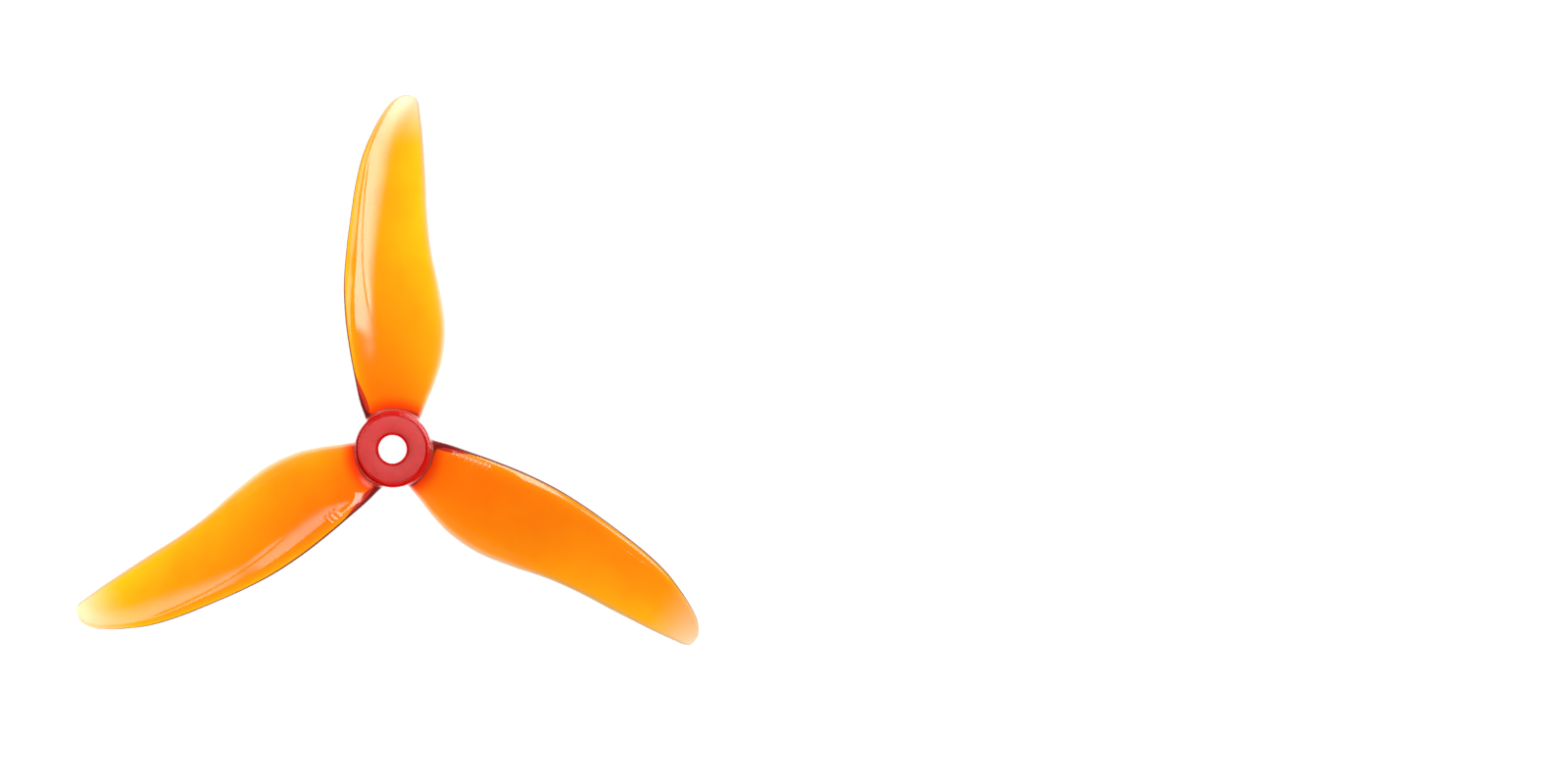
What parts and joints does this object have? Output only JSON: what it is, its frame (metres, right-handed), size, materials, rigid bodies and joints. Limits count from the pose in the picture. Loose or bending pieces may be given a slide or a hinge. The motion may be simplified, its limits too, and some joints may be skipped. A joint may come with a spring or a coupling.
{
  "type": "drone propeller",
  "caption": "Direct-drive drone propeller: swept, twisted blades in translucent orange plastic round a deep red hub with a plain through bore for a motor shaft.",
  "frame": {"origin": "on the bore axis, in the plane of the hub face that sits on the motor", "axes": "+Z along the bore axis towards the prop nut; +Y along the radial line of blade_1; seen from +Z the propeller turns counter-clockwise, and it drives air towards -Z"},
  "size_m": [0.1111, 0.0983, 0.0104],
  "materials": {
    "hub_plastic": "moulded translucent polycarbonate, so thick here that it reads as deep red; satin end faces, glossy wall",
    "blade_plastic": "the same moulded translucent polycarbonate, thin and glossy: deep orange at the root, amber at the tip"
  },
  "bodies": {
    "root": {"hub": "hub_plastic", "blade_1": "blade_plastic", "blade_2": "blade_plastic", "blade_3": "blade_plastic"}
  },
  "joints": []
}
